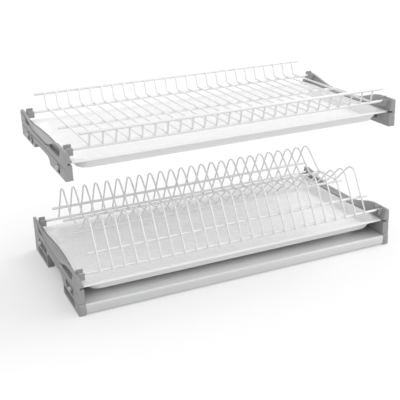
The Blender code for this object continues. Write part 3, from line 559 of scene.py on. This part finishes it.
def tray_ribs(name, y0, z0):
    """The row of ribs on the floor of a tray whose rim starts at y0 and z0."""
    left, right, front, rear = (mouth + draft for mouth, draft in zip(TRAY_MOUTH, TRAY_DRAFT))
    end_margin, margin = RIB_MARGINS
    first, last = front + margin, TRAY_DEPTH - rear - margin
    count = int((last - first) / RIB_PITCH) + 1
    start = (first + last - RIB_PITCH * (count - 1)) / 2
    values = {"Count": count, "Start": (0, start, 0), "Step": (0, RIB_PITCH, 0),
              "Radius": RIB_RADIUS, "Sides": 16, "Material": TRAY_WHITE}
    west, east = left + end_margin - TRAY_HALF, TRAY_HALF - right - end_margin
    z = z0 - TRAY_FLOOR - RIB_SINK
    line = [(west, y0, z), (0, y0, z), (east, y0, z)]
    return grown(curve_object(name, [line], RIB_END), ROW, values)


def tray(tier, foot):
    """A shallow basin of thin sheet with low ribs across its floor."""
    name = tier + "_tray"
    y0, z0 = FRONT_FACE + TRAY_SETBACK, foot + TRAY_RIM_LEVEL
    rings = tray_rings(0) + tray_rings(TRAY_WALL)[::-1]
    shell = lofted(name + " shell", [[(x, y + y0, z + z0) for x, y, z in ring] for ring in rings])
    mesh = merged(name, [shell, tray_ribs(name + " ribs", y0, z0)], TRAY_WHITE)
    mesh.set_sharp_from_angle(angle=math.radians(50))
    place(name + "_shell", mesh, tier + "_drip_tray", [name])


# Brackets, in their own frame: (u, y, z) is inwards from the outer face, back from the front
# face and up from the foot

BRACKET_DEPTH = 0.275
END_ROUND = 0.0026  # of the crest, at the front and rear face
OVERRUN = 0.002  # how far a cutter reaches past the face that it opens
BRACKET_EDGE = 0.0003  # width of its rounded edges

FLANGE = 0.0283  # foot to the top of the flange over the tray
FLANGE_WALL = 0.0017
RIM_WIDTH, RIM_RISE, RIM_SLOPE = 0.0012, 0.0004, 0.0003  # of the flange's raised rim
FLANGE_REACH = INNER_FACE + 0.0001  # outer face to the flange's edge, before and behind the leaf
LEAF_START, LEAF_LENGTH, LEAF_REACH, LEAF_POWER = 0.052, 0.168, 0.0044, 0.8

CREST_WIDTH = 0.0046
CREST_WALL = 0.0011
CREST_ROUND = 0.0011
WING_TOP, WAIST_DROP, REAR_RISE = 0.0453, 0.0156, 0.0141
FALL_START, FALL_LENGTH = 0.036, 0.074
RISE_START, RISE_LENGTH = 0.181, 0.084

# The inner side is a hollow cove (positive) that turns into a full shoulder at the front wing
COVE, SHOULDER = 0.6, 1.25
SHOULDER_END, SHOULDER_LENGTH = 0.100, 0.055
DISH = 0.0278  # foot to the cove's lower end

# Groove along the outer face
LINE_LEVEL = 0.0185
LINE_HALF = 0.0012
LINE_DEPTH = 0.0017

# Hollows under the wings and the channel between and behind them, each from start to end
WING_HOLLOWS = ((0.0190, 0.0860), (0.2110, 0.2420))
HOLLOW_STEPS = 14
HOLLOW_LIFT = 0.0004  # flange to a hollow's floor
HOLLOW_END, HOLLOW_GROWTH = 0.30, 6.0  # share of the height at the ends, and its slope from there
HOLLOW_SPLAY = 0.0030 / 0.0143  # how far its back leans inwards
CHANNEL = (0.0740, 0.2620)
CHANNEL_STEPS = 36
CHANNEL_WALL = CREST_WALL + 0.0001
CHANNEL_HEIGHT, CHANNEL_DEPTH, CHANNEL_BACK = 0.0030, 0.0022, 0.6

ARCH_FRONT, ARCH_REAR, ARCH_RISE, ARCH_SHOULDER = 0.0880, 0.1881, 0.0108, 0.016

# Groove for the tray's rim, in from the inner face; its cutter clears the flange's leaf
GROOVE_FLOOR, GROOVE_END, GROOVE_REACH, GROOVE_CLEAR = 0.0227, 0.2658, 0.0064, 0.007

BOSS_LEVEL = 0.0108
BOSS_RADIUS, BORE_RADIUS, BOSS_DEPTH = 0.0044, 0.0036, 0.0095
BOSS_PROUD = 0.0005  # of the outer face
FRONT_BOSS, SPARE_BOSS, REAR_BOSS = BOSSES = (0.0370, 0.2030, 0.2290)
RECESS_SHIFT, RECESS_RADIUS, RECESS_DEPTH = (-0.0010, -0.0012), 0.0078, 0.0080

# Windows and the ribs in them, in the lower brackets' feet
WINDOW_LOW, WINDOW_HIGH = 0.0030, LINE_LEVEL - LINE_HALF - 0.0012
WINDOW_DEPTH, WINDOW_ROUND = 0.0078, 0.0035
WINDOWS = ((FRONT_BOSS - 0.0145, FRONT_BOSS + 0.0290), (SPARE_BOSS - 0.0135, REAR_BOSS + 0.0140))
RIBS = (FRONT_BOSS - 0.0088, FRONT_BOSS + 0.0088, FRONT_BOSS + 0.0158, FRONT_BOSS + 0.0228,
        SPARE_BOSS + 0.0130)
RIB_HALF, RIB_ROOT = 0.0006, 0.001  # half its thickness, and its reach into the foot
RIB_START, RIB_BACK = 0.0002, 0.0090

CRADLES = (0.0154, 0.2504)
# A cradle's faces found here carry a painted shade on the lower tier.
CRADLE_ZONE, CRADLE_CLEAR = 0.0070, 0.0003  # where a face counts as a cradle's
CRADLE_START, CRADLE_REACH = 0.0058, 0.0054  # from the outer face, and past the inner one
CRADLE_HALF, CRADLE_DROP, JAW_RISE = 0.0062, 0.0075, 0.0030
TAB_THICKNESS, TAB_RISE = 0.0026, 0.0068
SEAT_START, SEAT_TOP = 0.0080, 0.0088
SEAT_RADIUS = ROD_RADIUS + FIT_GAP

SCREW_SETBACK, SCREW_RADIUS, SCREW_DEPTH = 0.0150, 0.0021, 0.0123


def ease(share):
    """A smooth step from 0 to 1."""
    share = min(max(share, 0.0), 1.0)
    return share * share * (3 - 2 * share)


def crest(y):
    """Height of the outer top edge: it falls from the front wing to the waist and rises again."""
    fall = WAIST_DROP * ease((y - FALL_START) / FALL_LENGTH)
    rise = REAR_RISE * ease((y - RISE_START) / RISE_LENGTH)
    past = max(END_ROUND - y, y - BRACKET_DEPTH + END_ROUND, 0)
    return WING_TOP - fall + rise - END_ROUND + math.sqrt(max(END_ROUND ** 2 - past ** 2, 0))


def flange_edge(y):
    """How far inwards the flange over the tray reaches; it widens to a leaf along the waist."""
    share = min(max((y - LEAF_START) / LEAF_LENGTH, 0), 1)
    return FLANGE_REACH + LEAF_REACH * math.sin(math.pi * share) ** LEAF_POWER


def bracket_section(y):
    """The outline at y, from the outer foot over the crest and the cove to the inner foot."""
    top, edge = crest(y), flange_edge(y)
    hollow = COVE - SHOULDER * ease((SHOULDER_END - y) / SHOULDER_LENGTH)
    section = [(0, 0), (0, LINE_LEVEL - LINE_HALF), (LINE_DEPTH, LINE_LEVEL),
               (0, LINE_LEVEL + LINE_HALF)]
    for angle in (0, 30, 60, 90):
        turn = math.radians(angle)
        section.append((CREST_ROUND * (1 - math.cos(turn)),
                        top - CREST_ROUND * (1 - math.sin(turn))))
    for step in range(9):
        share = step / 8
        across = share + hollow * (1 - math.cos(math.pi / 2 * share) - share)
        down = share + hollow * (math.sin(math.pi / 2 * share) - share)
        section.append((CREST_WIDTH + (edge - RIM_WIDTH - CREST_WIDTH) * across,
                        top + (DISH - top) * down))
    rim_top, underside = FLANGE + RIM_RISE, FLANGE - FLANGE_WALL
    section += [(edge - RIM_WIDTH + RIM_SLOPE, rim_top), (edge, rim_top), (edge, underside)]
    section += [(INNER_FACE, underside), (INNER_FACE, 0)]
    return [(u, y, z) for u, z in section]


def bracket_form():
    """The bracket's body, lofted from front to rear."""
    nose = [END_ROUND * (1 - math.cos(math.radians(angle))) for angle in range(0, 91, 18)]
    body = [END_ROUND + (BRACKET_DEPTH - 2 * END_ROUND) * step / 68 for step in range(1, 69)]
    tail = [BRACKET_DEPTH - y for y in reversed(nose[:-1])]
    return lofted("bracket form", [bracket_section(y) for y in nose + body + tail])


def wing_hollow(start, end):
    """The hollow under a wing's crest, open on the outer face and shallow at both ends."""
    rings = []
    for step in range(HOLLOW_STEPS + 1):
        share = step / HOLLOW_STEPS
        y = start + (end - start) * share
        roof = crest(y) - CREST_WALL
        full = roof - FLANGE - HOLLOW_LIFT
        height = full * min(1, HOLLOW_END + HOLLOW_GROWTH * min(share, 1 - share))
        deep = CREST_WIDTH - CREST_WALL
        section = [(-OVERRUN, roof - height), (-OVERRUN, roof), (deep, roof),
                   (deep + HOLLOW_SPLAY * height, roof - height)]
        rings.append([(u, y, z) for u, z in section])
    return lofted("wing hollow", rings)


def crest_channel(start, end):
    """The channel under the crest's curled edge, from the front hollow to the rear end."""
    rings = []
    for step in range(CHANNEL_STEPS + 1):
        y = start + (end - start) * step / CHANNEL_STEPS
        roof = crest(y) - CHANNEL_WALL
        section = [(-OVERRUN, roof - CHANNEL_HEIGHT), (-OVERRUN, roof), (CHANNEL_DEPTH, roof),
                   (CHANNEL_DEPTH, roof - CHANNEL_BACK * CHANNEL_HEIGHT)]
        rings.append([(u, y, z) for u, z in section])
    return lofted("crest channel", rings)


def slab(name, outline, start, end):
    """An outline of (y, z) points carried across the bracket from start to end."""
    return lofted(name, [[(u, y, z) for y, z in outline] for u in (start, end)])


def box_outline(front, rear, low, high):
    """A rectangle in (y, z)."""
    return [(front, low), (rear, low), (rear, high), (front, high)]


def round_outline(y, z, radius, sides=28):
    """A circle in (y, z)."""
    turns = [2 * math.pi * step / sides for step in range(sides)]
    return [(y + radius * math.cos(turn), z + radius * math.sin(turn)) for turn in turns]


def window_outline(start, end):
    """A foot's window: a rectangle in (y, z) with rounded corners."""
    front, rear = start + WINDOW_ROUND, end - WINDOW_ROUND
    low, high = WINDOW_LOW + WINDOW_ROUND, WINDOW_HIGH - WINDOW_ROUND
    outline = []
    for y, z, first in ((rear, high, 0), (front, high, 90), (front, low, 180), (rear, low, 270)):
        for angle in range(0, 91, 18):
            turn = math.radians(first + angle)
            outline.append((y + WINDOW_ROUND * math.cos(turn), z + WINDOW_ROUND * math.sin(turn)))
    return outline


def arch_outline():
    """The opening between the two feet, with elliptical shoulders."""
    turns = [math.radians(angle) for angle in range(0, 91, 10)]
    shoulder = [(ARCH_SHOULDER * (1 - math.cos(turn)), ARCH_RISE * math.sin(turn))
                for turn in turns]
    outline = [(ARCH_FRONT, -OVERRUN)] + [(ARCH_FRONT + run, rise) for run, rise in shoulder]
    outline += [(ARCH_REAR - run, rise) for run, rise in reversed(shoulder)]
    return outline + [(ARCH_REAR, -OVERRUN)]


def seat_curve():
    """The half circle under a rod, from its rear to its front."""
    turns = [math.radians(angle) for angle in range(0, 181, 15)]
    return [(SEAT_RADIUS * math.cos(turn), -SEAT_RADIUS * math.sin(turn)) for turn in turns]


def cradle_outline(y):
    """An open-topped jaw about the rod's middle, with a taller tab at its rear."""
    tab = SEAT_RADIUS + TAB_THICKNESS
    outline = [(-CRADLE_HALF, -CRADLE_DROP), (CRADLE_HALF, -CRADLE_DROP), (CRADLE_HALF, JAW_RISE),
               (tab, JAW_RISE), (tab, TAB_RISE), (SEAT_RADIUS, TAB_RISE)]
    outline += seat_curve() + [(-SEAT_RADIUS, JAW_RISE), (-CRADLE_HALF, JAW_RISE)]
    return [(y + a, LUG_HEIGHT + b) for a, b in outline]


def seat_outline(y):
    """The rod's seat, open upwards."""
    outline = [(SEAT_RADIUS, SEAT_TOP)] + seat_curve() + [(-SEAT_RADIUS, SEAT_TOP)]
    return [(y + a, LUG_HEIGHT + b) for a, b in outline]


def screw_hole(y):
    """The hole up into a foot, for the screw through the frame's corner."""
    turns = [math.radians(angle) for angle in range(0, 360, 20)]
    circle = [(INNER_FACE / 2 + SCREW_RADIUS * math.cos(turn), y + SCREW_RADIUS * math.sin(turn))
              for turn in turns]
    return lofted("screw hole", [[(u, v, z) for u, v in circle] for z in (-OVERRUN, SCREW_DEPTH)])


CUT, ADD = "DIFFERENCE", "UNION"


def foot_steps():
    """The windows in a lower bracket's feet and the ribs in them."""
    steps = [(CUT, slab("foot window", window_outline(start, end), -OVERRUN, WINDOW_DEPTH))
             for start, end in WINDOWS]
    for y in RIBS:
        rib = box_outline(y - RIB_HALF, y + RIB_HALF,
                          WINDOW_LOW - RIB_ROOT, WINDOW_HIGH + RIB_ROOT)
        steps.append((ADD, slab("foot rib", rib, RIB_START, RIB_BACK)))
    return steps


def boss_steps(tier):
    """The bosses, which stand in recesses on the upper tier, and their bores."""
    steps = []
    for y in BOSSES:
        if tier == "upper":
            back, up = RECESS_SHIFT
            recess = round_outline(y + back, BOSS_LEVEL + up, RECESS_RADIUS)
            steps.append((CUT, slab("boss recess", recess, -OVERRUN, RECESS_DEPTH)))
        boss = round_outline(y, BOSS_LEVEL, BOSS_RADIUS)
        steps.append((ADD, slab("boss", boss, -BOSS_PROUD, BOSS_DEPTH)))
    for y in BOSSES:
        bore = round_outline(y, BOSS_LEVEL, BORE_RADIUS)
        steps.append((CUT, slab("boss bore", bore, -OVERRUN, INNER_FACE + OVERRUN)))
    return steps


def left_bracket(tier):
    """The left bracket of a tier in its own frame."""
    groove = box_outline(-OVERRUN, GROOVE_END, GROOVE_FLOOR, FLANGE - FLANGE_WALL)
    steps = [(CUT, slab("arch", arch_outline(), -OVERRUN, INNER_FACE + OVERRUN)),
             (CUT, slab("groove", groove, INNER_FACE - GROOVE_REACH, INNER_FACE + GROOVE_CLEAR))]
    steps += [(CUT, wing_hollow(start, end)) for start, end in WING_HOLLOWS]
    steps.append((CUT, crest_channel(*CHANNEL)))
    if tier == "lower":
        steps += foot_steps()
    steps += boss_steps(tier)
    tip = INNER_FACE + CRADLE_REACH
    for y in CRADLES:
        steps.append((ADD, slab("cradle", cradle_outline(y), CRADLE_START, tip)))
        steps.append((CUT, slab("seat", seat_outline(y), SEAT_START, tip + OVERRUN)))
    steps += [(CUT, screw_hole(y)) for y in (SCREW_SETBACK, BRACKET_DEPTH - SCREW_SETBACK)]
    return carved(f"{tier} bracket", bracket_form(), steps)


def cradle_shade_mask(face):
    """1 for the faces of the two rod cradles on a bracket's inner side, which take a painted
    shade on the lower tier.
    """
    middle = face.calc_center_median()
    near = min(abs(middle.y - y) for y in CRADLES) < CRADLE_ZONE
    return int(near and middle.x > INNER_FACE + CRADLE_CLEAR and middle.z > FLANGE)


def brackets():
    """Both brackets of both tiers; the right one is the left one turned over."""
    for tier, foot in TIERS:
        # The lower tier's cradles take the darker grey as painted shade; the upper tier's keep
        # the moulding's grey.
        materials = [GREY, CRADLE_PAINTED_SHADE if tier == "lower" else GREY]
        shape = rounded_edges(tier + " bracket", left_bracket(tier), materials, BRACKET_EDGE,
                              cradle_shade_mask)
        for side, sign in SIDES:
            mesh = shape.copy()
            mesh.transform(Matrix.Diagonal((-sign, 1, 1, 1)))
            if sign > 0:
                mesh.flip_normals()
            mesh.transform(Matrix.Translation((sign * HALF_WIDTH, FRONT_FACE, foot)))
            node = f"{tier}_{side}_bracket"
            place(node + "_moulding", mesh, "frame", [node])


# Dowels and the lower frame

PEG_REACH = 0.0042  # past the bracket's outer face
PEG_RIBS, PEG_RIB_PITCH = 4, 0.0009
PEG_SIDES = 28


def dowels():
    """Nylon pegs that stand out of the bosses, ribbed, with a hole down the middle."""
    # (distance inwards from the outer face, radius), from the hole's end over the tip
    profile = [(0.0020, 0.0014), (-PEG_REACH, 0.0014), (-PEG_REACH, 0.0027), (-0.0036, 0.0033)]
    for rib in range(PEG_RIBS):
        along = PEG_RIB_PITCH * rib
        profile += [(-0.0028 + along, 0.0035), (-0.0027 + along, 0.0032)]
    profile += [(0.0056, 0.0033)]
    turns = [2 * math.pi * step / PEG_SIDES for step in range(PEG_SIDES)]
    places = [(tier, foot, side, sign, end, y) for tier, foot in TIERS for side, sign in SIDES
              for end, y in (("front", FRONT_BOSS), ("rear", REAR_BOSS))]
    for tier, foot, side, sign, end, y in places:
        y, z = FRONT_FACE + y, foot + BOSS_LEVEL
        rings = [[(sign * (HALF_WIDTH - u), y + radius * math.cos(t), z + radius * math.sin(t))
                  for t in turns] for u, radius in profile]
        node = f"{tier}_{side}_{end}_dowel"
        mesh = lofted(node, rings)
        mesh.materials.append(NYLON)
        mesh.shade_smooth()
        mesh.set_sharp_from_angle(angle=math.radians(35))
        place(node + "_nylon", mesh, "frame", [node])


def frame_parts():
    """The profiles, corners and screws, in the frame's own form with softer edges."""
    kinds = {"profile": ("_extrusion", ALUMINIUM, 0.0002, "profile_aluminium"),
             "corner": ("_moulding", GREY, 0.0004, "bracket_plastic"),
             "screw": ("_metal", ZINC, 0.0001, "screw_steel")}
    for end in ("front", "rear"):
        nodes = [end + "_profile"]
        for side, _ in SIDES:
            nodes += [f"{end}_{side}_corner", f"{end}_{side}_corner_screw"]
        for node in nodes:
            suffix, material, width, slot = kinds[node.split("_")[-1]]
            place(node + suffix, softened(node, material, width), "frame", [node])


# Studio

FLOOR_REACH = 14
FLOOR_SINK = 0.0004  # under the part, so that no face is shared with it
FLOOR_LIFT = 0.33
SKY_SLOPE = (0.70, 0.71, 0)  # the sky's light grows towards this side
SKY_DIM, SKY_BRIGHT = 0.56, 0.99
# (name, strength, angular width in degrees, where the light comes from)
LAMPS = (("front", 0.76, 60, (0.05, -1.0, 1.05)), ("right", 0.57, 40, (1.0, -0.3, 0.45)),
         ("key", 0.49, 25, (0.80, 0.25, 1.0)))


def seen_rays(tree):
    """1 for the rays that show the background: from the camera, off gloss and through glass."""
    path = tree.nodes.new("ShaderNodeLightPath")
    direct, every = tree.nodes.new("ShaderNodeMath"), tree.nodes.new("ShaderNodeMath")
    for total in (direct, every):
        total.operation = "MAXIMUM"
    tree.links.new(path.outputs["Is Camera Ray"], direct.inputs[0])
    tree.links.new(path.outputs["Is Glossy Ray"], direct.inputs[1])
    tree.links.new(direct.outputs[0], every.inputs[0])
    tree.links.new(path.outputs["Is Transmission Ray"], every.inputs[1])
    return every.outputs[0]


def studio_floor():
    """A pale floor that seen rays find lifted towards white, with the object's shadow on it."""
    corners = [(-1, -1), (1, -1), (1, 1), (-1, 1)]
    mesh = bpy.data.meshes.new("Studio floor")
    mesh.from_pydata([(x * FLOOR_REACH, y * FLOOR_REACH, 0) for x, y in corners], [],
                     [(0, 1, 2, 3)])
    paper = surface("Studio floor", (0.595, 0.595, 0.595), (0.605, 0.605, 0.605), (0.7, 0.8),
                    400, 2, 0.0)
    nodes, link = paper.node_tree.nodes, paper.node_tree.links.new
    lift, both = nodes.new("ShaderNodeEmission"), nodes.new("ShaderNodeAddShader")
    link(seen_rays(paper.node_tree), lift.inputs["Color"])
    lift.inputs["Strength"].default_value = FLOOR_LIFT
    link(nodes["Principled BSDF"].outputs[0], both.inputs[0])
    link(lift.outputs[0], both.inputs[1])
    link(both.outputs[0], nodes["Material Output"].inputs["Surface"])
    mesh.materials.append(paper)
    floor = linked("studio_floor", mesh)
    floor.location.z = -FLOOR_SINK
    return floor


def studio_sky():
    """A world that is white to seen rays and lights the object more from one side."""
    world = bpy.data.worlds.new("Studio")
    bpy.context.scene.world = world
    world.use_nodes = True
    nodes, link = world.node_tree.nodes, world.node_tree.links.new
    nodes.clear()
    blend = nodes.new("ShaderNodeMixShader")
    light, seen = nodes.new("ShaderNodeBackground"), nodes.new("ShaderNodeBackground")
    light.inputs["Color"].default_value = (1.0, 1.0, 1.0, 1)
    aim, slope = nodes.new("ShaderNodeTexCoord"), nodes.new("ShaderNodeVectorMath")
    level = nodes.new("ShaderNodeMapRange")
    slope.operation = "DOT_PRODUCT"
    slope.inputs[1].default_value = SKY_SLOPE
    level.inputs["From Min"].default_value = -1
    level.inputs["To Min"].default_value = SKY_DIM
    level.inputs["To Max"].default_value = SKY_BRIGHT
    link(aim.outputs["Generated"], slope.inputs[0])
    link(slope.outputs["Value"], level.inputs["Value"])
    link(level.outputs["Result"], light.inputs["Strength"])
    seen.inputs["Color"].default_value = (1, 1, 1, 1)
    seen.inputs["Strength"].default_value = 1
    out = nodes.new("ShaderNodeOutputWorld")
    link(seen_rays(world.node_tree), blend.inputs[0])
    link(light.outputs[0], blend.inputs[1])
    link(seen.outputs[0], blend.inputs[2])
    link(blend.outputs[0], out.inputs["Surface"])


def studio():
    """The floor, the sky and the lamps."""
    floor = studio_floor()
    studio_sky()
    for label, energy, width, source in LAMPS:
        data = bpy.data.lights.new(label + " light", "SUN")
        data.energy = energy
        data.angle = math.radians(width)
        lamp = linked(label + "_light", data)
        lamp.rotation_euler = Vector(source).to_track_quat("Z", "Y").to_euler()


# Camera, fitted to points of the photograph
CAMERA_YAW, CAMERA_PITCH, CAMERA_ROLL = 0.41138, 0.3695, -0.03471
CAMERA_SPOT = (-0.52731, -1.16929, 0.58583)
FOCAL_PIXELS, PHOTO_PIXELS = 786.98, 400
SENSOR_WIDTH = 36


def camera():
    """The photograph's camera."""
    yaw, pitch, roll = CAMERA_YAW, CAMERA_PITCH, CAMERA_ROLL
    forward = Vector((math.sin(yaw) * math.cos(pitch), math.cos(yaw) * math.cos(pitch),
                      -math.sin(pitch)))
    right = Vector((math.cos(yaw), -math.sin(yaw), 0))
    up = right.cross(forward)
    tilt_right = right * math.cos(roll) + up * math.sin(roll)
    tilt_up = up * math.cos(roll) - right * math.sin(roll)
    data = bpy.data.cameras.new("Photograph view")
    data.sensor_width = SENSOR_WIDTH
    data.lens = SENSOR_WIDTH * FOCAL_PIXELS / PHOTO_PIXELS
    data.clip_end = 60
    obj = linked("photograph_view", data)
    turn = Matrix((tilt_right, tilt_up, -forward)).transposed().to_4x4()
    obj.matrix_world = Matrix.Translation(CAMERA_SPOT) @ turn
    bpy.context.scene.camera = obj


plate_rack()
cup_rack()
for tier, foot in TIERS:
    tray(tier, foot)
brackets()
dowels()
frame_parts()
studio()
camera()
bpy.context.scene.view_settings.view_transform = "Standard"
